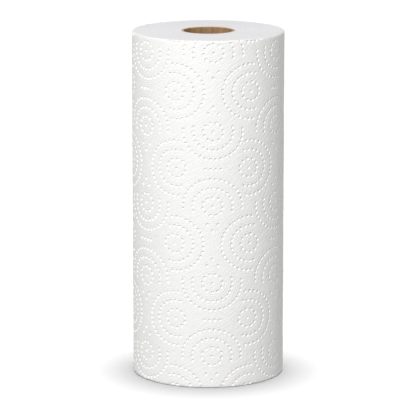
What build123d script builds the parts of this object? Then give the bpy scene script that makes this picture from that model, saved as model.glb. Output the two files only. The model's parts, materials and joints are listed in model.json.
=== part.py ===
from build123d import *
import os
from math import pi

# Kitchen towel roll: one long perforated towel wound on a cardboard tube, standing on end.
# Millimetres. The roll stands on Z = 0 with the tube's axis on Z; -Y is its front.

# ---- Driving dimensions -------------------------------------------------------------------
SHEET_WIDTH = 279.4  # 11 in towel, which is the height of the standing roll
SHEET_LENGTH = 279.4  # from one perforation to the next
ROLL_DIAMETER = 122.0  # mean over the last turn
TURN_PITCH = 0.42  # room that one embossed two-ply turn takes
RIM_ROUNDING = 1.2  # outer turns curl over a little at both cut ends
BORE_ROUNDING = 0.3  # paper edge next to the tube

TUBE_BORE = 39.4
TUBE_WALL = 1.8
TUBE_LIP_ROUNDING = 0.35  # crushed by the saw that cuts the log into rolls
PASTE_FILM = 0.05  # between the tube and the first turn

TAIL_ANGLE = 142.0  # where the towel's free edge lies, counter-clockwise from +X seen from above
SLIT_LENGTH = 9.0  # perforation slits, with uncut bonds between them
SLIT_BOND = 1.6
SLIT_WIDTH = 0.3
SLIT_DEPTH = 0.25

# ---- Worked out from them -----------------------------------------------------------------
QUARTERS = 4  # the last turn is a four-centre spiral, one arc for each quarter turn
QUARTER_ARC = 360 / QUARTERS
QUARTER_STEP = TURN_PITCH / QUARTERS  # radius that each quarter loses, and side of the centres' square
MEAN_RADIUS = ROLL_DIAMETER / 2
TUBE_RADIUS = TUBE_BORE / 2 + TUBE_WALL
TOWEL_BORE_RADIUS = TUBE_RADIUS + PASTE_FILM
PERFORATION_ANGLE = TAIL_ANGLE + 360 * SHEET_LENGTH / (pi * ROLL_DIAMETER)
SLIT_PITCH = SLIT_LENGTH + SLIT_BOND
SLIT_COUNT = int((SHEET_WIDTH - 2 * RIM_ROUNDING - SLIT_BOND) // SLIT_PITCH)


def heading(angle: float) -> Vector:
    """Unit vector in the XY plane, angle degrees counter-clockwise from +X."""
    return Vector(1, 0, 0).rotate(Axis.Z, angle)


def quarter_radius(quarter: int) -> float:
    """Radius of one quarter arc of the last turn; the towel's free edge ends quarter 0."""
    return MEAN_RADIUS + QUARTER_STEP * ((QUARTERS - 1) / 2 - quarter)


def quarter_centre(quarter: int) -> Vector:
    """Centre of one quarter arc: a corner of a small square about the tube's axis."""
    corner = (heading(TAIL_ANGLE + QUARTER_ARC) + heading(TAIL_ANGLE + 2 * QUARTER_ARC)) * (-QUARTER_STEP / 2)
    for turned in range(1, quarter + 1):
        corner += heading(TAIL_ANGLE + QUARTER_ARC * turned) * QUARTER_STEP
    return corner


os.makedirs("parts", exist_ok=True)

# ---- The wound towel: every turn as one solid, with the step of its free edge -------------
with BuildPart() as towel_roll:
    for quarter in range(QUARTERS):
        radius = quarter_radius(quarter)
        centre = quarter_centre(quarter)
        outward = heading(TAIL_ANGLE + QUARTER_ARC * quarter)
        section_plane = Plane(origin=centre, x_dir=outward, z_dir=outward.cross(Vector(0, 0, 1)))
        with BuildSketch(section_plane):
            with Locations((radius / 2, SHEET_WIDTH / 2)):
                section = Rectangle(radius, SHEET_WIDTH)
            rim_corners = section.vertices().sort_by(Axis.X)[-2:]
            fillet(rim_corners, radius=RIM_ROUNDING)
        revolve(axis=Axis(centre, (0, 0, 1)), revolution_arc=QUARTER_ARC)
    lip_radius = TOWEL_BORE_RADIUS + BORE_ROUNDING
    with BuildSketch(Plane.XZ):
        Rectangle(TOWEL_BORE_RADIUS, SHEET_WIDTH, align=Align.MIN)
        with Locations((TOWEL_BORE_RADIUS, 0), (TOWEL_BORE_RADIUS, SHEET_WIDTH)):
            Rectangle(2 * BORE_ROUNDING, 2 * BORE_ROUNDING)
        with Locations((lip_radius, BORE_ROUNDING), (lip_radius, SHEET_WIDTH - BORE_ROUNDING)):
            Circle(BORE_ROUNDING, mode=Mode.SUBTRACT)
    revolve(axis=Axis.Z, mode=Mode.SUBTRACT)
    perforation_plane = Plane(
        origin=heading(PERFORATION_ANGLE) * MEAN_RADIUS + Vector(0, 0, SHEET_WIDTH / 2),
        x_dir=(0, 0, 1),
        z_dir=heading(PERFORATION_ANGLE),
    )
    with BuildSketch(perforation_plane):
        with GridLocations(SLIT_PITCH, 1, SLIT_COUNT, 1):
            SlotOverall(SLIT_LENGTH, SLIT_WIDTH)
    extrude(amount=SLIT_DEPTH, both=True, mode=Mode.SUBTRACT)
towel_roll.part.label = "towel_roll"
export_step(towel_roll.part, "parts/towel_roll.step")

# ---- The cardboard tube that it is wound on -----------------------------------------------
with BuildPart() as core_tube:
    with BuildSketch():
        Circle(TUBE_RADIUS)
        Circle(TUBE_BORE / 2, mode=Mode.SUBTRACT)
    extrude(amount=SHEET_WIDTH)
    lip_edges = core_tube.edges().filter_by(GeomType.CIRCLE)
    fillet(lip_edges, radius=TUBE_LIP_ROUNDING)
core_tube.part.label = "core_tube"
export_step(core_tube.part, "parts/core_tube.step")
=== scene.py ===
"""Looks of a standing roll of embossed kitchen towel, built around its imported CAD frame.

Lengths are metres in the row's own frame: the roll stands on Z = 0 with its tube's axis on Z, and -Y is
its front. The towel's last turn is laid out flat as a sheet, embossed there, and then wound round the roll.
"""

import json
import logging
import math
from dataclasses import dataclass, field
from enum import Enum

import bpy
import numpy as np
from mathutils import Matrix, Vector
from mathutils.geometry import delaunay_2d_cdt


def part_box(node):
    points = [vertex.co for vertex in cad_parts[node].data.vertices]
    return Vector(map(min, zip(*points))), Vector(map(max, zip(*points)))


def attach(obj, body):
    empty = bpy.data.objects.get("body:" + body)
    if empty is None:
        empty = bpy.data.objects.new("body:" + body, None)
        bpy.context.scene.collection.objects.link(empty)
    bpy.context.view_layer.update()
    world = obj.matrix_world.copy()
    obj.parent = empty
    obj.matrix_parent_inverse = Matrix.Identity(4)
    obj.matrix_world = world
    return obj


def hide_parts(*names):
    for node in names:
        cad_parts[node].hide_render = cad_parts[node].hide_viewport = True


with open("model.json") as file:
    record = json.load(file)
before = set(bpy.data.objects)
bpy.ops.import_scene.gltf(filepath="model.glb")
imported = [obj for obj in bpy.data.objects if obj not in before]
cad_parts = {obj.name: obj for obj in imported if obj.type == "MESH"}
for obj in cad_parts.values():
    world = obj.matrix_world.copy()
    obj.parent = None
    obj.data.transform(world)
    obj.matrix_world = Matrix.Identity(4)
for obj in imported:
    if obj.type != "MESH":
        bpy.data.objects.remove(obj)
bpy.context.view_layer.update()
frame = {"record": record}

LOG = logging.getLogger("towel_roll")
MM = 0.001
PER_MM = 1000.0
TURN = 2 * math.pi
WHITE = (1.0, 1.0, 1.0, 1.0)

Colour = tuple[float, float, float]
Points = np.ndarray


# ---- Small helpers ------------------------------------------------------------------------------


def smoothstep(low: float, high: float, value: np.ndarray) -> np.ndarray:
    """Rises smoothly from 0 at low to 1 at high."""
    share = np.clip((value - low) / (high - low), 0.0, 1.0)
    return share * share * (3.0 - 2.0 * share)


def wandering(phase: np.ndarray, seed: int, waves: int = 5) -> np.ndarray:
    """A smooth random curve made of a few sines, each one faster and weaker than the last.

    Args:
        phase: where on the curve, in radians of its slowest wave.
        seed: fixes the random phases and speeds.
        waves: how many sines are added.

    Returns:
        Values of about -1 to 1.
    """
    slow, fast = 0.55, 0.95
    weakening, usual_sum = 0.5, 1.8
    rng = np.random.default_rng(seed)
    total = np.zeros_like(phase, dtype=float)
    for index in range(waves):
        speed = 1.0 + index * rng.uniform(slow, fast)
        total += np.sin(phase * speed + rng.uniform(0.0, TURN)) / (1.0 + weakening * index)
    return total / usual_sum


def node_radius(name: str) -> float:
    """Mean outer radius of an upright round node of the frame."""
    low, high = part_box(name)
    return (high.x - low.x + high.y - low.y) / 4


def node_height(name: str) -> float:
    """Height of a node of the frame."""
    low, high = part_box(name)
    return high.z - low.z


# ---- Sizes ----------------------------------------------------------------------------------------


@dataclass(frozen=True)
class RollSize:
    """Sizes of the wound roll; the overall ones are read from the CAD frame."""

    height: float
    mean_radius: float
    bore_radius: float
    turn_pitch: float = 0.42 * MM
    rim_rounding: float = 1.2 * MM
    lip_rounding: float = 0.3 * MM
    paste_film: float = 0.05 * MM
    tail_angle: float = math.radians(142.0)
    front_angle: float = math.radians(270.0)
    sheet_length: float = 279.4 * MM

    @classmethod
    def from_frame(cls) -> "RollSize":
        """Reads the roll's height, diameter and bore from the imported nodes."""
        return cls(height=node_height("towel_roll"), mean_radius=node_radius("towel_roll"),
                   bore_radius=node_radius("core_tube") + cls.paste_film)

    @property
    def round_length(self) -> float:
        """Length of the last turn, laid flat."""
        return TURN * self.mean_radius

    @property
    def rim_length(self) -> float:
        """Length of the quarter circle by which the sheet curls over each cut end."""
        return math.pi / 2 * self.rim_rounding

    @property
    def profile_length(self) -> float:
        """Length of the sheet across the roll's height, with both curled rims."""
        return self.height - 2 * self.rim_rounding + 2 * self.rim_length

    @property
    def front_arc(self) -> float:
        """Distance along the sheet from its free edge to the roll's front."""
        return (self.front_angle - self.tail_angle) * self.mean_radius

    def radius_at(self, turned: np.ndarray) -> np.ndarray:
        """Outer radius, which falls by one turn's thickness in each turn from the free edge."""
        return self.mean_radius + self.turn_pitch * (0.5 - turned / TURN)


# ---- Embossing ------------------------------------------------------------------------------------


class Facing(Enum):
    """The way that a half-ring motif opens, in degrees counter-clockwise from the sheet's length."""

    RIGHT = 0
    UP = 90
    LEFT = 180
    DOWN = 270


@dataclass(frozen=True)
class Motif:
    """One set of dotted half rings on the flat sheet."""

    x: float
    y: float
    facing: Facing


@dataclass(frozen=True)
class DotRing:
    """A dotted arc of a motif, with its angles in degrees to either side of the facing direction.

    The dots lie at the angles, and the pressed line of the arc ends at the reach.
    """

    radius: float
    angles: tuple[float, ...]
    reach: float


@dataclass(frozen=True)
class DotPattern:
    """The embossing: half rings of dots in a staggered lattice, with a few dots at the junctions.

    The sheet's own coordinates are x along its length, from the free edge, and y up from the lower cut end.
    """

    size: RollSize
    column_pitch: float = 30.45 * MM
    row_pitch: float = 30.45 * MM
    first_column: float = 3.6 * MM
    first_row: float = 10.6 * MM
    lean: float = 0.006
    widening: float = 1.095
    facing_shift: float = 0.6 * MM
    side_shift: float = 0.75 * MM
    dot_radius: float = 1.45 * MM
    dot_depth: float = 1.3 * MM
    rings: tuple[DotRing, ...] = (
        DotRing(7.3 * MM, tuple(360 / 11 * step for step in range(11)), 180.0),
        DotRing(14.6 * MM, tuple(15.0 * step for step in range(-7, 8)), 105.0),
        DotRing(21.9 * MM, tuple(10.0 * step + 5.0 for step in range(-10, 10)), 95.0),
    )
    row_of_four: tuple[tuple[float, float], ...] = tuple((x * MM, 0.0) for x in (-6.3, -2.1, 2.1, 6.3))
    pairs_of_three: tuple[tuple[float, float], ...] = tuple(
        (x * MM, y * side * MM) for side in (1, -1) for x, y in ((-4.2, 16.6), (4.2, 16.6), (0.0, 11.5))
    )

    def site(self, column: int, row: int) -> tuple[float, float]:
        """Where a lattice site lies on the sheet."""
        y = self.size.height - self.first_row - self.row_pitch * row
        x = self.size.front_arc + self.first_column + self.column_pitch * column
        return x + self.lean * (y - self.size.height / 2), y

    def sites(self) -> list[tuple[int, int]]:
        """Column and row of every lattice site that can touch the sheet."""
        before = int(self.size.front_arc // self.column_pitch) + 2
        after = int((self.size.round_length - self.size.front_arc) // self.column_pitch) + 2
        rows = int(self.size.height // self.row_pitch) + 2
        return [(column, row) for column in range(-before, after + 1) for row in range(-1, rows + 1)]

    def motifs(self) -> list[Motif]:
        """Every half-ring motif, turned and nudged as its place in the lattice says."""
        made = []
        for column, row in self.sites():
            if (column + row) % 2:
                continue
            x, y = self.site(column, row)
            if column % 2:
                right = ((column + 1) // 2 + (row - 1) // 2) % 2 == 0
                facing = Facing.RIGHT if right else Facing.LEFT
                x -= self.side_shift if right else -self.side_shift
            else:
                up = (column // 2 + row // 2) % 2 == 0
                facing = Facing.UP if up else Facing.DOWN
                y += self.facing_shift if up else -self.facing_shift
            made.append(Motif(x, y, facing))
        return made

    def dots(self) -> Points:
        """Centre of every embossed dot on or near the sheet, as rows of x and y."""
        found = []
        for motif in self.motifs():
            found.append((motif.x, motif.y))
            for ring in self.rings:
                for angle in ring.angles:
                    turned = math.radians(motif.facing.value + angle)
                    x = motif.x + ring.radius * self.widening * math.cos(turned)
                    found.append((x, motif.y + ring.radius * math.sin(turned)))
        for column, row in self.sites():
            if (column + row) % 2 == 0 or column % 2:
                continue
            x, y = self.site(column, row)
            threes = (column // 2 + (row - 1) // 2) % 2 == 0
            found += [(x + dx, y + dy) for dx, dy in (self.pairs_of_three if threes else self.row_of_four)]
        dots = np.array(found)
        inside_x = (dots[:, 0] > -self.dot_radius) & (dots[:, 0] < self.size.round_length + self.dot_radius)
        inside_y = (dots[:, 1] > -self.dot_radius) & (dots[:, 1] < self.size.height + self.dot_radius)
        return dots[inside_x & inside_y]

    def ring_distance(self, places: Points) -> np.ndarray:
        """Distance from each place on the sheet to the nearest dotted ring."""
        nearest = np.full(len(places), self.row_pitch)
        for motif in self.motifs():
            x = (places[:, 0] - motif.x) / self.widening
            y = places[:, 1] - motif.y
            away = np.hypot(x, y)
            from_facing = np.degrees(np.arctan2(y, x)) - motif.facing.value
            from_facing = np.abs((from_facing + 180.0) % 360.0 - 180.0)
            for ring in self.rings:
                past_end = np.radians(np.clip(from_facing - ring.reach, 0.0, 180.0))
                chord = 2 * np.sqrt(away * ring.radius) * np.sin(past_end / 2)
                nearest = np.minimum(nearest, np.hypot(away - ring.radius, chord))
        return nearest


@dataclass(frozen=True)
class NearestDots:
    """Finds the dots near places on the sheet, through square bins."""

    dots: Points
    reach: float

    def pairs(self, places: Points) -> tuple[np.ndarray, np.ndarray]:
        """Every place and dot that may lie within reach of each other.

        Args:
            places: rows of x and y.

        Returns:
            Indices of the places, and the distance of each to its dot.
        """
        keys = np.floor(places / self.reach).astype(int)
        bins: dict[tuple[int, int], list[int]] = {}
        for index, (column, row) in enumerate(np.floor(self.dots / self.reach).astype(int)):
            bins.setdefault((int(column), int(row)), []).append(index)
        order = np.lexsort((keys[:, 1], keys[:, 0]))
        starts = np.flatnonzero(np.any(np.diff(keys[order], axis=0, prepend=keys[order][:1] - 1), axis=1))
        found_places, found_gaps = [], []
        for members in np.split(order, starts[1:]):
            column, row = keys[members[0]]
            near = [dot for across in (-1, 0, 1) for up in (-1, 0, 1)
                    for dot in bins.get((int(column) + across, int(row) + up), ())]
            if near:
                gaps = np.linalg.norm(places[members][:, None] - self.dots[near][None], axis=2)
                found_places.append(np.repeat(members, len(near)))
                found_gaps.append(gaps.ravel())
        return np.concatenate(found_places), np.concatenate(found_gaps)

    def nearest(self, places: Points) -> np.ndarray:
        """Distance from each place to its nearest dot, or the reach where none is that near."""
        gaps = np.full(len(places), self.reach)
        found_places, found_gaps = self.pairs(places)
        np.minimum.at(gaps, found_places, found_gaps)
        return gaps

    def hollow(self, places: Points, spread: float) -> np.ndarray:
        """Sum of a soft bell round each dot, with the given spread."""
        total = np.zeros(len(places))
        found_places, found_gaps = self.pairs(places)
        np.add.at(total, found_places, np.exp(-0.5 * (found_gaps / spread) ** 2))
        return total


# ---- The towel's last turn ------------------------------------------------------------------------


@dataclass(frozen=True)
class TowelSheet:
    """The last turn of the towel as a flat sheet of points with heights, ready to be wound."""

    size: RollSize
    pattern: DotPattern
    end_segments: int = 72
    rim_segments: int = 288
    edge_spacing: float = 1.6 * MM
    filler_spacing: float = 1.88 * MM
    filler_clearance: float = 0.62 * MM
    line_clearance: float = 0.5 * MM
    rim_row_count: int = 4
    dot_rings: tuple[tuple[float, int], ...] = ((0.0, 1), (0.44, 6), (1.0, 9))
    dot_ring_stagger: float = 7.0
    flat_bottom: float = 0.42
    pillow_height: float = 0.06 * MM
    pillow_width: float = 2.4 * MM
    valley_depth: float = 0.03 * MM
    valley_spread: float = 1.5 * MM
    slack_height: float = 0.13 * MM
    slack_length: float = 95.0 * MM
    slack_weave: float = 0.4
    slack_seeds: tuple[int, int] = (3, 5)
    flattened_rim: float = 0.7
    slit_length: float = 9.0 * MM
    slit_bond: float = 1.6 * MM
    slit_half_width: float = 0.3 * MM
    slit_depth: float = 0.25 * MM
    slit_end: float = 0.03
    slit_shares: tuple[float, ...] = (0.0, 0.06, 0.3, 0.5, 0.7, 0.94, 1.0)
    tail_lift: float = 0.35 * MM
    tail_reach: float = 5.0 * MM
    tail_middle: float = 0.35
    tail_corner: float = 18.0 * MM
    tail_wave: float = 0.3
    tail_wave_length: float = 70.0 * MM
    tail_seed: int = 11

    @property
    def slit_pitch(self) -> float:
        """From one perforation slit to the next."""
        return self.slit_length + self.slit_bond

    @property
    def slit_count(self) -> int:
        """How many slits a perforation has across the towel."""
        return int((self.size.height - 2 * self.size.rim_rounding) // self.slit_pitch)

    @property
    def first_slit(self) -> float:
        """Where on the profile the lowest slit starts."""
        return self.size.profile_length / 2 - (self.slit_count * self.slit_pitch - self.slit_bond) / 2

    def to_height(self, profile: np.ndarray) -> np.ndarray:
        """Height above the lower end of a place on the profile, as if its rims were flat."""
        return profile - self.size.rim_length + self.size.rim_rounding

    def rim_rows(self) -> tuple[np.ndarray, np.ndarray]:
        """Places on the profile of the rows that shape the lower and the upper curled rim."""
        lower = np.linspace(0.0, self.size.rim_length, self.rim_row_count)
        return lower, self.size.profile_length - lower[::-1]

    def edge_column(self) -> np.ndarray:
        """Places on the profile of the points along the towel's free edge."""
        lower, upper = self.rim_rows()
        count = int((upper[0] - lower[-1]) // self.edge_spacing)
        return np.concatenate((lower[:-1], np.linspace(lower[-1], upper[0], count + 1), upper[1:]))

    def slit_line(self) -> Points:
        """Points across and along the slits of the perforation, as rows of x and profile place."""
        shares = np.array(self.slit_shares)
        along = np.concatenate([self.first_slit + index * self.slit_pitch + shares * self.slit_length
                                for index in range(self.slit_count)])
        return np.array([(self.size.sheet_length + across * self.slit_half_width, place)
                         for place in along for across in (-1, 0, 1)])

    def dot_points(self, dots: Points) -> Points:
        """The points that shape each dot: its centre and the rings round it."""
        made = []
        for share, count in self.dot_rings:
            turned = TURN * (np.arange(count) / count + share / self.dot_ring_stagger)
            ring = np.stack((np.cos(turned), np.sin(turned)), axis=1) * share * self.pattern.dot_radius
            made.append((dots[:, None] + ring[None]).reshape(-1, 2))
        return np.concatenate(made)

    def filler(self, near: NearestDots) -> Points:
        """A staggered grid of points between the dots."""
        step_y = self.filler_spacing * math.sqrt(3) / 2
        rows = np.arange(0.0, self.size.height, step_y)
        columns = np.arange(0.0, self.size.round_length, self.filler_spacing)
        x, y = np.meshgrid(columns, rows)
        x = x + (np.arange(len(rows)) % 2)[:, None] * self.filler_spacing / 2
        places = np.stack((x.ravel(), y.ravel()), axis=1)
        return places[near.nearest(places) > self.pattern.dot_radius + self.filler_clearance]

    def points(self, near: NearestDots) -> Points:
        """Every point of the flat sheet, as rows of x and profile place; the free edges come first."""
        size, clear = self.size, self.line_clearance
        edge = self.edge_column()
        lower, upper = self.rim_rows()
        ends = np.linspace(0.0, size.round_length, self.end_segments + 1)[1:-1]
        rims = np.linspace(0.0, size.round_length, self.rim_segments + 1)[1:-1]
        fixed = [np.stack((np.full(len(edge), x), edge), axis=1) for x in (0.0, size.round_length)]
        fixed += [np.stack((ends, np.full(len(ends), row)), axis=1) for row in (lower[0], upper[-1])]
        curled = np.concatenate((lower[1:], upper[:-1]))
        fixed += [np.stack((rims, np.full(len(rims), row)), axis=1) for row in curled]
        inner = np.concatenate((self.dot_points(near.dots), self.filler(near)))
        inner[:, 1] += size.rim_length - size.rim_rounding
        keep = (inner[:, 0] > clear) & (inner[:, 0] < size.round_length - clear)
        keep &= (inner[:, 1] > lower[-1] + clear) & (inner[:, 1] < upper[0] - clear)
        keep &= np.abs(inner[:, 0] - size.sheet_length) > self.slit_half_width + clear / 2
        return np.concatenate(fixed + [self.slit_line(), inner[keep]])

    def heights(self, places: Points, near: NearestDots) -> np.ndarray:
        """How far the paper stands out from the wound spiral at each place.

        Args:
            places: rows of x and profile place.
            near: the dots of the sheet.

        Returns:
            Heights in metres, outward.
        """
        size = self.size
        flat = np.stack((places[:, 0], self.to_height(places[:, 1])), axis=1)
        ring_gap = self.pattern.ring_distance(flat)
        pillow = self.pillow_height * (1.0 - np.exp(-(ring_gap / self.pillow_width) ** 2))
        valley = self.valley_depth * near.hollow(flat, self.valley_spread)
        dot_share = near.nearest(flat) / self.pattern.dot_radius
        pit = self.pattern.dot_depth * (1.0 - smoothstep(self.flat_bottom, 1.0, dot_share))
        height = pillow - valley - pit + self.slack(flat)
        height += self.tail_height(flat) - self.slit_height(places)
        to_end = np.minimum(places[:, 1], size.profile_length - places[:, 1])
        return height * smoothstep(0.0, size.rim_length * self.flattened_rim, to_end)

    def slack(self, flat: Points) -> np.ndarray:
        """How far the loosely wound last turn stands out, in broad soft swells."""
        along = flat[:, 0] / self.slack_length * TURN
        up = flat[:, 1] / self.slack_length * TURN + self.slack_weave * np.sin(along)
        return self.slack_height * wandering(along, self.slack_seeds[0]) * wandering(up, self.slack_seeds[1])

    def tail_height(self, flat: Points) -> np.ndarray:
        """How far the free edge lifts off the turn under it, most at its two corners."""
        to_corner = np.minimum(flat[:, 1], self.size.height - flat[:, 1])
        lift = self.tail_middle + (1.0 - self.tail_middle) * np.exp(-to_corner / self.tail_corner)
        lift += self.tail_wave * wandering(flat[:, 1] / self.tail_wave_length * TURN, self.tail_seed)
        return self.tail_lift * lift * np.exp(-flat[:, 0] / self.tail_reach)

    def slit_height(self, places: Points) -> np.ndarray:
        """Depth of the perforation slits at each place."""
        first = self.first_slit
        across = np.abs(places[:, 0] - self.size.sheet_length) / self.slit_half_width
        along = np.mod(places[:, 1] - first, self.slit_pitch) / self.slit_length
        inside = (along > self.slit_end) & (along < 1.0 - self.slit_end) & (places[:, 1] > first)
        inside &= places[:, 1] < first + self.slit_count * self.slit_pitch
        return self.slit_depth * np.clip(1.0 - across, 0.0, 1.0) * inside

    def wind(self, places: Points, heights: np.ndarray) -> Points:
        """Turns flat places with heights into points in space on the roll."""
        size = self.size
        turned = places[:, 0] / size.mean_radius
        angle = size.tail_angle + turned
        above = np.clip(places[:, 1] - (size.profile_length - size.rim_length), 0.0, size.rim_length)
        below = np.clip(size.rim_length - places[:, 1], 0.0, size.rim_length)
        curl = (above - below) / size.rim_rounding
        straight = np.clip(self.to_height(places[:, 1]), size.rim_rounding, size.height - size.rim_rounding)
        out = size.radius_at(turned) - size.rim_rounding + (size.rim_rounding + heights) * np.cos(curl)
        up = straight + (size.rim_rounding + heights) * np.sin(curl)
        return np.stack((out * np.cos(angle), out * np.sin(angle), up), axis=1)


# ---- The whole roll of towel ----------------------------------------------------------------------


@dataclass
class MeshParts:
    """Vertices, faces and face materials of a mesh while it is put together."""

    vertices: list[tuple[float, float, float]] = field(default_factory=list)
    faces: list[tuple[int, ...]] = field(default_factory=list)
    materials: list[int] = field(default_factory=list)

    def add_points(self, points: Points) -> list[int]:
        """Adds points and returns their indices."""
        first = len(self.vertices)
        self.vertices += [tuple(point) for point in points.tolist()]
        return list(range(first, len(self.vertices)))

    def add_face(self, corners: list[int], material: int, turned_over: bool = False) -> None:
        """Adds one face, with its corners reversed where it has to look the other way."""
        self.faces.append(tuple(reversed(corners)) if turned_over else tuple(corners))
        self.materials.append(material)

    def to_object(self, name: str, smooth_angle: float) -> bpy.types.Object:
        """Makes the mesh object, smooth but for edges sharper than the angle."""
        mesh = bpy.data.meshes.new(name)
        mesh.from_pydata(self.vertices, [], self.faces)
        mesh.polygons.foreach_set("material_index", self.materials)
        mesh.polygons.foreach_set("use_smooth", [True] * len(mesh.polygons))
        mesh.set_sharp_from_angle(angle=smooth_angle)
        mesh.validate()
        made = bpy.data.objects.new(name, mesh)
        bpy.context.scene.collection.objects.link(made)
        return made


class TowelFace(Enum):
    """The towel's two kinds of surface, as material slots."""

    SHEET = 0
    CUT_END = 1


@dataclass(frozen=True)
class TowelRoll:
    """The wound towel: its embossed last turn, both cut ends with every turn's edge, and the bore."""

    size: RollSize
    sheet: TowelSheet
    groove_depth: float = 0.11 * MM
    turn_scatter: float = 0.16 * MM
    own_share: float = 0.45
    broad_turns: float = 14.0
    swell: float = 0.25
    swells_round: int = 3
    even_turns: float = 2.0
    end_seeds: tuple[int, int] = (22, 21)
    lip_margin: float = 0.02 * MM
    dot_search: float = 6.0 * MM
    merge_gap_mm: float = 1e-5
    smooth_angle: float = math.radians(62.0)
    dot_angle: float = math.radians(36.0)

    def end_relief(self, turns: np.ndarray, angle: np.ndarray, seed: int) -> np.ndarray:
        """How deep a place on a cut end lies, from each turn's own chance height.

        Args:
            turns: how many turns in from the outside, with parts of a turn.
            angle: the place's angle round the roll.
            seed: gives each end its own scatter.

        Returns:
            Depths in metres, 0 or more.
        """
        rng = np.random.default_rng(seed)
        levels = rng.random(int(np.max(turns)) + 3) ** 2
        broad = 0.5 + 0.5 * wandering(turns / self.broad_turns * TURN, seed)
        whole = np.floor(turns).astype(int)
        share = turns - whole
        own = levels[whole] * (1 - share) + levels[whole + 1] * share
        swell = 1.0 - self.swell + self.swell * np.sin(self.swells_round * angle + turns)
        fade = smoothstep(0.0, self.even_turns, turns)
        mixed = self.own_share * own + (1.0 - self.own_share) * broad
        return self.turn_scatter * fade * mixed * swell

    def end_rows(self, parts: MeshParts, rim: list[int], top: bool) -> list[list[int]]:
        """Adds the vertices of one cut end, as a spiral with a crest and a groove for each turn.

        Args:
            parts: the mesh being made.
            rim: the sheet's vertices along this end, from the free edge all the way round.
            top: whether this is the upper end.

        Returns:
            The vertices of each half turn; where a row ends, the next but one starts.
        """
        size, count = self.size, len(rim) - 1
        columns = np.arange(count + 1)
        turned = TURN * columns / count
        angle = size.tail_angle + turned
        outer = size.radius_at(turned) - size.rim_rounding
        inner_limit = size.bore_radius + size.lip_rounding + self.lip_margin
        last = 2 * int((outer[-1] - inner_limit) // size.turn_pitch)
        rows: list[list[int]] = []
        for row in range(last + 1):
            depth = self.end_relief(row / 2 + columns / count, angle, self.end_seeds[top])
            if row % 2:
                depth = depth + self.groove_depth
            radius = outer - row * size.turn_pitch / 2
            up = size.height - depth if top else depth
            made = np.stack((radius * np.cos(angle), radius * np.sin(angle), up), axis=1)
            if row == 0:
                rows.append(list(rim[:-1]))
            elif row == 2:
                rows.append([rim[-1]] + parts.add_points(made[1:-1]))
            else:
                rows.append(parts.add_points(made[:-1]))
            if row >= last - 1:
                rows[row].append(parts.add_points(made[-1:])[0])
        for row in range(last - 1):
            rows[row].append(rows[row + 2][0])
        return rows

    def add_end(self, parts: MeshParts, rim: list[int], top: bool) -> tuple[list[int], int]:
        """Adds one cut end, from the sheet's rim to the lip of the bore.

        Args:
            parts: the mesh being made.
            rim: the sheet's vertices along this end, from the free edge all the way round.
            top: whether this is the upper end.

        Returns:
            The ring of vertices at the bore, and the vertex half way down the free edge's end.
        """
        size, count = self.size, len(rim) - 1
        rows = self.end_rows(parts, rim, top)
        for row, inward in zip(rows[:-1], rows[1:]):
            for column in range(count):
                corners = [row[column], row[column + 1], inward[column + 1], inward[column]]
                parts.add_face(corners, TowelFace.CUT_END.value, not top)
        level = size.height if top else 0.0
        lip = self.bore_ring(parts, count, size.bore_radius + size.lip_rounding, level)
        last = rows[-1]
        start = [last[0], last[1], lip[1], lip[0], last[count], rows[-2][count]]
        parts.add_face(start, TowelFace.CUT_END.value, not top)
        for column in range(1, count):
            corners = [last[column], last[column + 1], lip[(column + 1) % count], lip[column]]
            parts.add_face(corners, TowelFace.CUT_END.value, not top)
        return lip, rows[1][0]

    def bore_ring(self, parts: MeshParts, count: int, radius: float, height: float) -> list[int]:
        """Adds one ring of vertices round the tube's axis."""
        angle = self.size.tail_angle + TURN * np.arange(count) / count
        ring = np.stack((radius * np.cos(angle), radius * np.sin(angle), np.full(count, height)), axis=1)
        return parts.add_points(ring)

    def build(self) -> bpy.types.Object:
        """Builds the roll as one closed mesh, with its flat layout as UVs."""
        sheet = self.sheet
        near = NearestDots(sheet.pattern.dots(), self.dot_search)
        places = sheet.points(near)
        parts = MeshParts()
        self.add_sheet(parts, places, sheet.heights(places, near))
        edge = len(sheet.edge_column())
        ends = sheet.end_segments - 1
        low_rim = [0] + list(range(2 * edge, 2 * edge + ends)) + [edge]
        high_rim = [edge - 1] + list(range(2 * edge + ends, 2 * edge + 2 * ends)) + [2 * edge - 1]
        low_lip, low_middle = self.add_end(parts, low_rim, False)
        high_lip, high_middle = self.add_end(parts, high_rim, True)
        self.add_step(parts, edge, low_middle, high_middle)
        self.add_bore(parts, low_lip, high_lip)
        made = parts.to_object("wound_towel", self.smooth_angle)
        self.crisp_dots(made.data, len(places))
        self.lay_out(made, places, sheet.pattern)
        LOG.info("wound_towel: %d dots, %d faces", len(near.dots), len(parts.faces))
        return made

    def add_sheet(self, parts: MeshParts, places: Points, heights: np.ndarray) -> None:
        """Adds the embossed last turn, as triangles between its points."""
        flat = [Vector(place) for place in places * PER_MM]
        found = delaunay_2d_cdt(flat, [], [], 0, self.merge_gap_mm, True)
        faces, origins = found[2], [origin[0] for origin in found[3]]
        parts.add_points(self.sheet.wind(places, heights))
        for face in faces:
            parts.add_face([origins[corner] for corner in face], TowelFace.SHEET.value)

    def add_step(self, parts: MeshParts, edge: int, low_middle: int, high_middle: int) -> None:
        """Adds the free edge's own thickness, down to the turn under it.

        Args:
            parts: the mesh being made, whose first vertices are those of the free edge.
            edge: how many vertices the free edge has; as many follow for the turn under it.
            low_middle: the vertex half way down the step at its lower end.
            high_middle: the same at its upper end.
        """
        free_edge, under_edge = list(range(edge)), list(range(edge, 2 * edge))
        for step in range(edge - 1):
            corners = [free_edge[step], free_edge[step + 1], under_edge[step + 1], under_edge[step]]
            if step == 0:
                corners.append(low_middle)
            if step == edge - 2:
                corners.insert(2, high_middle)
            parts.add_face(corners, TowelFace.CUT_END.value)

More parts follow.
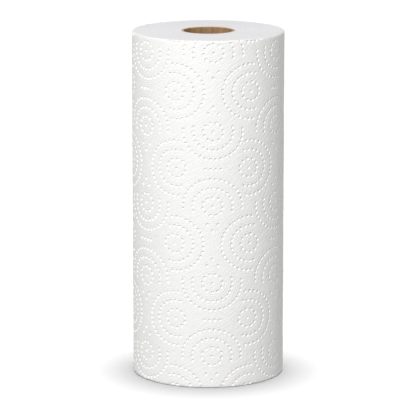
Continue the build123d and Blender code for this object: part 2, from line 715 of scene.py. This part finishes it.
    def add_bore(self, parts: MeshParts, low_lip: list[int], high_lip: list[int]) -> None:
        """Adds the bore's wall and its two eased lips, between the two cut ends."""
        size, count = self.size, len(high_lip)
        high_bore = self.bore_ring(parts, count, size.bore_radius, size.height - size.lip_rounding)
        low_bore = self.bore_ring(parts, count, size.bore_radius, size.lip_rounding)
        for upper, lower in ((high_lip, high_bore), (high_bore, low_bore), (low_bore, low_lip)):
            for column in range(count):
                following = (column + 1) % count
                corners = [upper[column], upper[following], lower[following], lower[column]]
                parts.add_face(corners, TowelFace.CUT_END.value)

    def crisp_dots(self, mesh: bpy.types.Mesh, sheet_count: int) -> None:
        """Marks the dots' edges as sharp too, though they are less steep than the mesh's other sharp edges.

        Args:
            mesh: the towel's mesh, whose first vertices are those of the sheet.
            sheet_count: how many vertices the sheet has.
        """
        corners = np.zeros(2 * len(mesh.edges), np.int32)
        mesh.edges.foreach_get("vertices", corners)
        on_sheet = corners.reshape(-1, 2).max(axis=1) < sheet_count
        steep, crisp = np.zeros(len(on_sheet), bool), np.zeros(len(on_sheet), bool)
        mesh.edges.foreach_get("use_edge_sharp", steep)
        mesh.set_sharp_from_angle(angle=self.dot_angle)
        mesh.edges.foreach_get("use_edge_sharp", crisp)
        mesh.edges.foreach_set("use_edge_sharp", steep | (crisp & on_sheet))

    def lay_out(self, made: bpy.types.Object, places: Points, pattern: DotPattern) -> None:
        """Stores where each vertex lies on the flat sheet, and its gap to the nearest dotted ring, in mm."""
        mesh = made.data
        count = len(mesh.vertices)
        flat = np.zeros((count, 2), np.float32)
        flat[:len(places)] = places / MM
        ring_gap = np.zeros(count, np.float32)
        level = np.stack((places[:, 0], self.sheet.to_height(places[:, 1])), axis=1)
        ring_gap[:len(places)] = pattern.ring_distance(level) / MM
        mesh.attributes.new("ring_gap", "FLOAT", "POINT").data.foreach_set("value", ring_gap)
        corners = np.zeros(len(mesh.loops), np.int32)
        mesh.loops.foreach_get("vertex_index", corners)
        mesh.uv_layers.new(name="sheet").data.foreach_set("uv", flat[corners].ravel())

    def make(self) -> bpy.types.Object:
        """Builds the towel, dresses it and puts it in the frame."""
        made = self.build()
        made.data.materials.append(TowelPaper().material())
        made.data.materials.append(CutPaper().material())
        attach(made, "root")
        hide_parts("towel_roll")
        return made


# ---- The tube -------------------------------------------------------------------------------------


class TubeFace(Enum):
    """The tube's two kinds of surface, as material slots."""

    WALL = 0
    CUT_LIP = 1


@dataclass(frozen=True)
class CoreTube:
    """The spirally wound cardboard tube, with the butt seam of its inner ply and its sawn lips."""

    bore_radius: float
    outer_radius: float
    height: float
    columns: int = 90
    rows: int = 230
    seam_rise: float = 71.0 * MM
    seam_depth: float = 0.22 * MM
    seam_columns: tuple[float, ...] = (0.35, 1.0, 0.35)
    lip_rounding: float = 0.35 * MM
    lip_steps: int = 3
    lip_wear: float = 0.10 * MM
    wear_speed: int = 4
    wear_seed: int = 31
    wear_waves: int = 9
    smooth_angle: float = math.radians(50.0)

    @classmethod
    def from_frame(cls) -> "CoreTube":
        """Reads the tube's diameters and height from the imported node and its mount."""
        bore = next(mount for mount in frame["record"]["mounts"] if mount["name"] == "core_bore")
        return cls(bore_radius=bore["dims"]["r_mm"] * MM, outer_radius=node_radius("core_tube"),
                   height=node_height("core_tube"))

    def profile(self) -> list[tuple[float, float, TubeFace]]:
        """Radius and height of each ring, up the bore and down the outside, with the kind of face after it.

        The four rounded corners follow each other, each starting at its own quarter turn.
        """
        ease = self.lip_rounding
        low, high = ease, self.height - ease
        inner, outer = self.bore_radius + ease, self.outer_radius - ease
        heights = np.linspace(low, high, self.rows)[1:-1]
        made = [(self.bore_radius, height, TubeFace.WALL) for height in heights]
        corners = ((inner, high, 2), (outer, high, 1), (outer, low, 0), (inner, low, -1))
        for radius, height, quarter in corners:
            for turned in np.linspace(quarter, quarter - 1, self.lip_steps + 1) * math.pi / 2:
                across, up = ease * math.cos(turned), ease * math.sin(turned)
                made.append((radius + across, height + up, TubeFace.CUT_LIP))
            if quarter in (1, -1):
                made[-1] = (*made[-1][:2], TubeFace.WALL)
        return made

    def ring(self, radius: float, height: float, kind: TubeFace) -> Points:
        """Points of one ring, with the seam's groove in the bore and the wear of a sawn lip.

        Args:
            radius: the ring's own radius.
            height: its height above the lower end.
            kind: the face that follows it.

        Returns:
            One point for each column.
        """
        turned = TURN * (np.arange(self.columns) / self.columns + height / self.seam_rise)
        out = np.full(self.columns, radius)
        up = np.full(self.columns, height)
        if kind is TubeFace.CUT_LIP:
            wear = wandering(self.wear_speed * turned, self.wear_seed, self.wear_waves)
            worn = self.lip_wear * (0.5 + 0.5 * wear)
            up = up - worn if height > self.height / 2 else up + worn
        elif radius < self.bore_radius + self.lip_rounding / 2:
            out[:len(self.seam_columns)] += self.seam_depth * np.array(self.seam_columns)
        return np.stack((out * np.cos(turned), out * np.sin(turned), up), axis=1)

    def build(self) -> bpy.types.Object:
        """Builds the tube as one closed mesh whose columns follow the winding's helix.

        The outer wall is one band, so its lower ring is shifted by the columns that the helix turns in it.
        """
        parts = MeshParts()
        profile = self.profile()
        rings = [parts.add_points(self.ring(*place)) for place in profile]
        for index, (_, height, kind) in enumerate(profile):
            ring, following = rings[index], rings[(index + 1) % len(rings)]
            drop = height - profile[(index + 1) % len(profile)][1]
            outer_wall = drop > self.height / 2
            shift = round(self.columns * drop / self.seam_rise) % self.columns if outer_wall else 0
            following = following[shift:] + following[:shift]
            for column in range(self.columns):
                beside = (column + 1) % self.columns
                corners = [ring[column], following[column], following[beside], ring[beside]]
                parts.add_face(corners, kind.value)
        made = parts.to_object("board_tube", self.smooth_angle)
        LOG.info("board_tube: %d faces", len(parts.faces))
        return made

    def make(self) -> bpy.types.Object:
        """Builds the tube, dresses it and puts it in the frame."""
        made = self.build()
        made.data.materials.append(TubeBoard().material())
        made.data.materials.append(SawnBoard().material())
        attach(made, "root")
        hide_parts("core_tube")
        return made


# ---- Finishes -------------------------------------------------------------------------------------


@dataclass
class NodeBench:
    """Adds and joins the nodes of one node tree."""

    tree: bpy.types.NodeTree

    def add(self, kind: str, values: dict[str | int, object] | None = None,
            **settings: object) -> bpy.types.Node:
        """Adds a node.

        Args:
            kind: the node's type name.
            values: default values of its inputs, or sockets to join to them.
            settings: the node's own properties.

        Returns:
            The new node.
        """
        node = self.tree.nodes.new(kind)
        for name, value in settings.items():
            setattr(node, name, value)
        for name, value in (values or {}).items():
            if isinstance(value, bpy.types.NodeSocket):
                self.tree.links.new(value, node.inputs[name])
            else:
                node.inputs[name].default_value = value
        return node

    def math(self, operation: str, *values: object) -> bpy.types.NodeSocket:
        """Adds a math node and returns its result."""
        return self.add("ShaderNodeMath", dict(enumerate(values)), operation=operation).outputs[0]

    def blend(self, share: object, low: Colour, high: Colour) -> bpy.types.NodeSocket:
        """Mixes two colours by a share from 0 to 1."""
        mix = self.add("ShaderNodeMix", data_type="RGBA")
        for socket, value in ((mix.inputs[0], share), (mix.inputs[6], low), (mix.inputs[7], high)):
            if isinstance(value, bpy.types.NodeSocket):
                self.tree.links.new(value, socket)
            else:
                socket.default_value = (*value, 1.0)
        return mix.outputs[2]


@dataclass(frozen=True)
class Noise:
    """One noise texture of a finish; the scale is per mm where the places are in mm."""

    scale: float
    detail: float
    roughness: float = 0.5
    distortion: float = 0.0

    def node(self, bench: NodeBench, place: bpy.types.NodeSocket,
             level: bool = False) -> bpy.types.NodeSocket:
        """Adds the texture.

        Args:
            bench: where it is added.
            place: the places, or the plain values where it is level.
            level: whether it runs along one value instead of through space.

        Returns:
            Its values, of about 0 to 1.
        """
        values = {"W" if level else "Vector": place, "Scale": self.scale, "Detail": self.detail,
                  "Roughness": self.roughness, "Distortion": self.distortion}
        dimensions = "1D" if level else "3D"
        return bench.add("ShaderNodeTexNoise", values, noise_dimensions=dimensions).outputs["Fac"]


class FibreGroup:
    """The shared node group that gives tissue and board their fibres: fine ones, and clumps of them."""

    NAME = "paper_fibre"
    FINE = {"Detail": 3.0, "Roughness": 0.6, "Distortion": 0.5}
    CLUMPED = {"Detail": 2.0, "Roughness": 0.55}
    CLUMP_WEIGHT = 0.8
    MOTTLE = {"From Min": 0.6, "From Max": 1.2}

    @classmethod
    def tree(cls) -> bpy.types.NodeTree:
        """Returns the group, made on its first use."""
        if cls.NAME in bpy.data.node_groups:
            return bpy.data.node_groups[cls.NAME]
        tree = bpy.data.node_groups.new(cls.NAME, "ShaderNodeTree")
        sockets = tree.interface
        sockets.new_socket("Place", in_out="INPUT", socket_type="NodeSocketVector")
        for name in ("Fibres per mm", "Clumps per mm"):
            sockets.new_socket(name, in_out="INPUT", socket_type="NodeSocketFloat")
        for name in ("Height", "Mottle"):
            sockets.new_socket(name, in_out="OUTPUT", socket_type="NodeSocketFloat")
        bench = NodeBench(tree)
        given = bench.add("NodeGroupInput").outputs
        place = {"Vector": given["Place"]}
        fine = bench.add("ShaderNodeTexNoise", {**place, "Scale": given["Fibres per mm"], **cls.FINE})
        clumps = bench.add("ShaderNodeTexNoise", {**place, "Scale": given["Clumps per mm"], **cls.CLUMPED})
        together = bench.math("MULTIPLY_ADD", clumps.outputs["Fac"], cls.CLUMP_WEIGHT, fine.outputs["Fac"])
        mottle = bench.add("ShaderNodeMapRange", {"Value": together, **cls.MOTTLE})
        bench.add("NodeGroupOutput", {"Height": together, "Mottle": mottle.outputs[0]})
        return tree


@dataclass(frozen=True)
class Fibres:
    """How fine and how clumped the fibres of one material are."""

    per_mm: float
    clumps_per_mm: float

    def node(self, bench: NodeBench, place: bpy.types.NodeSocket) -> bpy.types.Node:
        """Places the shared group in a material, fed with places in mm."""
        node = bench.add("ShaderNodeGroup", node_tree=FibreGroup.tree())
        bench.tree.links.new(place, node.inputs["Place"])
        node.inputs["Fibres per mm"].default_value = self.per_mm
        node.inputs["Clumps per mm"].default_value = self.clumps_per_mm
        return node


@dataclass(frozen=True)
class PaperStock:
    """What every finish of this object shares: a matt fibrous surface with two near colours."""

    name: str
    dark: Colour
    light: Colour
    fibres: Fibres
    fibre_relief: float
    roughness: float = 0.95
    gloss: float = 0.12
    shade_low: float = 0.0
    shade_high: float = 1.0

    def start(self) -> tuple[bpy.types.Material, NodeBench, bpy.types.Node]:
        """Makes the material with an empty tree but for its shader and output."""
        material = bpy.data.materials.new(self.name)
        material.use_nodes = True
        material.node_tree.nodes.clear()
        bench = NodeBench(material.node_tree)
        shader = bench.add("ShaderNodeBsdfPrincipled", {"Roughness": self.roughness,
                                                        "Specular IOR Level": self.gloss})
        bench.add("ShaderNodeOutputMaterial", {"Surface": shader.outputs[0]})
        return material, bench, shader

    def finish(self, bench: NodeBench, shader: bpy.types.Node, height: object, colour: object) -> None:
        """Feeds a relief in mm and a colour to the shader."""
        bump = bench.add("ShaderNodeBump", {"Height": height, "Distance": MM, "Strength": 1.0})
        bench.tree.links.new(bump.outputs[0], shader.inputs["Normal"])
        bench.tree.links.new(colour, shader.inputs["Base Color"])

    def shaded(self, material: bpy.types.Material, bench: NodeBench, shader: bpy.types.Node,
               fibres: bpy.types.Node, shade: bpy.types.NodeSocket) -> bpy.types.Material:
        """Finishes a material whose colour follows one shade and whose relief is its fibres alone.

        Args:
            material: the material that was started.
            bench: its nodes.
            shader: its shader.
            fibres: its fibre group.
            shade: goes from the dark to the light colour between the low and the high shade.

        Returns:
            The finished material.
        """
        limits = {"From Min": self.shade_low, "From Max": self.shade_high}
        share = bench.add("ShaderNodeMapRange", {"Value": shade, **limits})
        height = bench.math("MULTIPLY", fibres.outputs["Height"], self.fibre_relief)
        self.finish(bench, shader, height, bench.blend(share.outputs[0], self.dark, self.light))
        return material


@dataclass(frozen=True)
class TowelPaper(PaperStock):
    """White creped tissue: diagonal crepe ridges, puckers that follow the dotted rings, and fine fibres."""

    name: str = "towel_paper"
    dark: Colour = (0.885, 0.880, 0.862)
    light: Colour = (0.945, 0.942, 0.928)
    fibres: Fibres = Fibres(2.6, 0.8)
    fibre_relief: float = 0.05
    crepe_slant: float = math.radians(36.0)
    crepe_length: float = 4.5
    crepe: Noise = Noise(0.62, 2.5, 0.55, 0.35)
    crepe_relief: float = 0.50
    patches: Noise = Noise(0.16, 1.0)
    pucker_spacing: float = 1.55
    pucker_wobble: float = 5.0
    pucker_relief: float = 0.09

    def material(self) -> bpy.types.Material:
        """Makes the material of the embossed last turn."""
        material, bench, shader = self.start()
        place = bench.add("ShaderNodeUVMap", uv_map="sheet").outputs[0]
        fibres = self.fibres.node(bench, place)
        slant = {"Rotation": (0.0, 0.0, self.crepe_slant), "Scale": (self.crepe_length, 1.0, 1.0)}
        turned = bench.add("ShaderNodeMapping", {"Vector": place, **slant}, vector_type="TEXTURE")
        crepe = self.crepe.node(bench, turned.outputs[0])
        patches = self.patches.node(bench, place)
        ring_gap = bench.add("ShaderNodeAttribute", attribute_name="ring_gap").outputs["Fac"]
        wobble = bench.math("MULTIPLY", patches, self.pucker_wobble)
        phase = bench.math("MULTIPLY_ADD", ring_gap, TURN / self.pucker_spacing, wobble)
        pucker = bench.math("MULTIPLY", bench.math("SINE", phase), patches)
        height = bench.math("MULTIPLY", crepe, self.crepe_relief)
        height = bench.math("MULTIPLY_ADD", fibres.outputs["Height"], self.fibre_relief, height)
        height = bench.math("MULTIPLY_ADD", pucker, self.pucker_relief, height)
        colour = bench.blend(fibres.outputs["Mottle"], self.dark, self.light)
        self.finish(bench, shader, height, colour)
        return material


@dataclass(frozen=True)
class CutPaper(PaperStock):
    """The sawn ends of the turns: finely fuzzed, a little cooler, and ringed turn by turn."""

    name: str = "cut_paper"
    dark: Colour = (0.85, 0.84, 0.86)
    light: Colour = (0.945, 0.935, 0.95)
    fibres: Fibres = Fibres(3.0, 0.5)
    fibre_relief: float = 0.05
    rings: Noise = Noise(0.55, 4.0, 0.7)
    mottle_weight: float = 0.45
    shade_low: float = 0.35
    shade_high: float = 1.05

    def material(self) -> bpy.types.Material:
        """Makes the material of both cut ends and of the free edge."""
        material, bench, shader = self.start()
        spot = bench.add("ShaderNodeTexCoord").outputs["Object"]
        place = bench.add("ShaderNodeVectorMath", {0: spot, "Scale": PER_MM}, operation="SCALE").outputs[0]
        fibres = self.fibres.node(bench, place)
        split = bench.add("ShaderNodeSeparateXYZ", {0: place})
        level = bench.add("ShaderNodeCombineXYZ", {0: split.outputs[0], 1: split.outputs[1]})
        radius = bench.add("ShaderNodeVectorMath", {0: level.outputs[0]}, operation="LENGTH").outputs["Value"]
        rings = self.rings.node(bench, radius, level=True)
        shade = bench.math("MULTIPLY_ADD", fibres.outputs["Mottle"], self.mottle_weight, rings)
        return self.shaded(material, bench, shader, fibres, shade)


@dataclass(frozen=True)
class TubeBoard(PaperStock):
    """Unbleached board: brown and flecked, with a grain that runs up the tube."""

    name: str = "tube_board"
    dark: Colour = (0.26, 0.145, 0.068)
    light: Colour = (0.49, 0.315, 0.170)
    fibres: Fibres = Fibres(1.9, 0.45)
    fibre_relief: float = 0.08
    roughness: float = 0.85
    gloss: float = 0.25
    grain_stretch: float = 0.25
    flecks: Noise = Noise(1.1, 5.0, 0.75)
    fleck_weight: float = 0.9
    shade_low: float = 0.45
    shade_high: float = 1.45

    def material(self) -> bpy.types.Material:
        """Makes the board's material."""
        material, bench, shader = self.start()
        spot = bench.add("ShaderNodeTexCoord").outputs["Object"]
        stretch = (PER_MM, PER_MM, self.grain_stretch * PER_MM)
        place = bench.add("ShaderNodeMapping", {"Vector": spot, "Scale": stretch}).outputs[0]
        fibres = self.fibres.node(bench, place)
        flecks = self.flecks.node(bench, place)
        shade = bench.math("MULTIPLY_ADD", flecks, self.fleck_weight, fibres.outputs["Mottle"])
        return self.shaded(material, bench, shader, fibres, shade)


@dataclass(frozen=True)
class SawnBoard(TubeBoard):
    """The tube's sawn lips: paler and more fuzzed than its walls."""

    name: str = "sawn_board"
    dark: Colour = (0.45, 0.31, 0.195)
    light: Colour = (0.66, 0.50, 0.335)
    fibre_relief: float = 0.14


# ---- Studio ---------------------------------------------------------------------------------------


@dataclass(frozen=True)
class SoftBox:
    """A square lamp aimed at the middle of the roll."""

    name: str
    azimuth: float
    elevation: float
    distance: float
    width: float
    power: float

    def place(self, aim: Vector, roll_only: bpy.types.Collection) -> bpy.types.Object:
        """Adds the lamp; azimuth 0 is the front, and positive goes round to the right.

        Args:
            aim: the point that the lamp faces.
            roll_only: the pieces that the lamp lights.

        Returns:
            The lamp's object.
        """
        turned, raised = math.radians(self.azimuth), math.radians(self.elevation)
        level = math.cos(raised)
        towards = Vector((math.sin(turned) * level, -math.cos(turned) * level, math.sin(raised)))
        lamp = bpy.data.lights.new(self.name, "AREA")
        lamp.shape = "SQUARE"
        lamp.size = self.width
        lamp.energy = self.power
        made = bpy.data.objects.new(self.name, lamp)
        made.location = aim + towards * self.distance
        made.rotation_mode = "QUATERNION"
        made.rotation_quaternion = towards.to_track_quat("Z", "Y")
        made.light_linking.receiver_collection = roll_only
        bpy.context.scene.collection.objects.link(made)
        return made


@dataclass(frozen=True)
class FloorGlow:
    """An even light that only the floor takes up, so that it is seen as plain white.

    It comes from straight above but for a small tilt; its spread and tilt are in degrees.
    """

    strength: float
    spread: float
    tilt: float

    def place(self, floor_only: bpy.types.Collection) -> None:
        """Adds the lamp for the floor, which is the one object in the given collection."""
        lamp = bpy.data.lights.new("floor_glow", "SUN")
        lamp.energy = self.strength
        lamp.angle = math.radians(self.spread)
        made = bpy.data.objects.new("floor_glow", lamp)
        made.rotation_euler.x = -math.radians(self.tilt)
        made.light_linking.receiver_collection = floor_only
        bpy.context.scene.collection.objects.link(made)


@dataclass(frozen=True)
class Studio:
    """A white room: floor, world, lamps and camera."""

    size: RollSize
    floor_width: float = 6.0
    floor_drop: float = 0.02 * MM
    floor_colour: Colour = (0.30, 0.30, 0.30)
    world_light: float = 0.46
    ground_light: float = 0.48
    camera_distance: float = 2.17
    camera_height: float = 0.585
    camera_tilt: float = math.radians(11.74)
    camera_side: float = -0.21 * MM
    camera_lens: float = 236.6
    camera_sensor: float = 36.0
    camera_clip: tuple[float, float] = (0.05, 50.0)
    boxes: tuple[SoftBox, ...] = (
        SoftBox("key", azimuth=-20.0, elevation=36.0, distance=2.5, width=0.24, power=39.5),
        SoftBox("side_fill", azimuth=46.0, elevation=6.0, distance=1.8, width=0.9, power=2.2),
        SoftBox("back_fill", azimuth=180.0, elevation=8.0, distance=1.8, width=1.0, power=13.0),
    )
    floor_glow: FloorGlow = FloorGlow(strength=9.8, spread=18.0, tilt=1.3)

    def make_floor(self) -> bpy.types.Object:
        """Adds and returns the floor, which is seen as white but for the roll's own shadow."""
        half = self.floor_width / 2
        corners = [(-half, -half), (half, -half), (half, half), (-half, half)]
        mesh = bpy.data.meshes.new("studio_floor")
        mesh.from_pydata([(x, y, -self.floor_drop) for x, y in corners], [], [(0, 1, 2, 3)])
        floor = bpy.data.objects.new("studio_floor", mesh)
        floor.visible_diffuse = False
        floor.visible_shadow = False
        bpy.context.scene.collection.objects.link(floor)
        material = bpy.data.materials.new("studio_floor")
        material.use_nodes = True
        material.node_tree.nodes.clear()
        bench = NodeBench(material.node_tree)
        paint = bench.add("ShaderNodeBsdfDiffuse", {"Color": (*self.floor_colour, 1.0)})
        clear = bench.add("ShaderNodeBsdfTransparent")
        side = bench.add("ShaderNodeNewGeometry").outputs["Backfacing"]
        sides = bench.add("ShaderNodeMixShader", {0: side, 1: paint.outputs[0], 2: clear.outputs[0]})
        bench.add("ShaderNodeOutputMaterial", {"Surface": sides.outputs[0]})
        mesh.materials.append(material)
        return floor

    def make_world(self) -> None:
        """Lights the roll evenly from all round, and a little more from below than from above.

        The background itself is seen as plain white.
        """
        world = bpy.data.worlds.new("studio_world")
        bpy.context.scene.world = world
        world.use_nodes = True
        world.node_tree.nodes.clear()
        bench = NodeBench(world.node_tree)
        rays = bench.add("ShaderNodeLightPath").outputs
        seen = bench.math("MAXIMUM", rays["Is Camera Ray"], rays["Is Glossy Ray"])
        seen = bench.math("MAXIMUM", seen, rays["Is Transmission Ray"])
        heading = bench.add("ShaderNodeTexCoord").outputs["Generated"]
        heading = bench.add("ShaderNodeSeparateXYZ", {0: heading})
        below = bench.math("LESS_THAN", heading.outputs["Z"], 0.0)
        level = bench.math("MULTIPLY_ADD", below, self.ground_light - self.world_light, self.world_light)
        strength = bench.math("MAXIMUM", seen, level)
        light = bench.add("ShaderNodeBackground", {"Color": WHITE, "Strength": strength})
        bench.add("ShaderNodeOutputWorld", {"Surface": light.outputs[0]})

    def make_camera(self) -> None:
        """Adds the long-lens camera that looks a little down on the roll from its front."""
        lens = bpy.data.cameras.new("studio_camera")
        lens.lens = self.camera_lens
        lens.sensor_width = self.camera_sensor
        lens.clip_start, lens.clip_end = self.camera_clip
        camera = bpy.data.objects.new("studio_camera", lens)
        camera.location = (self.camera_side, -self.camera_distance, self.camera_height)
        camera.rotation_euler = (math.pi / 2 - self.camera_tilt, 0.0, 0.0)
        bpy.context.scene.collection.objects.link(camera)
        bpy.context.scene.camera = camera

    def make(self, pieces: list[bpy.types.Object]) -> None:
        """Adds all that isn't the roll itself, whose pieces are given and lit by the soft boxes."""
        bpy.context.scene.view_settings.view_transform = "Standard"
        self.make_camera()
        self.make_world()
        floor_only = bpy.data.collections.new("floor_only")
        floor_only.objects.link(self.make_floor())
        self.floor_glow.place(floor_only)
        middle = Vector((0.0, 0.0, self.size.height / 2))
        roll_only = bpy.data.collections.new("roll_only")
        for piece in pieces:
            roll_only.objects.link(piece)
        for box in self.boxes:
            box.place(middle, roll_only)
        LOG.info("studio: %d soft boxes", len(self.boxes))


def main() -> None:
    """Builds the towel, the tube and the studio, in that order."""
    logging.basicConfig(level=logging.INFO, format="%(name)s %(message)s")
    size = RollSize.from_frame()
    sheet = TowelSheet(size, DotPattern(size))
    pieces = [TowelRoll(size, sheet).make(), CoreTube.from_frame().make()]
    for piece in pieces:
        LOG.info("%s is in place", piece.name)
    Studio(size).make(pieces)


if __name__ == "__main__":
    main()
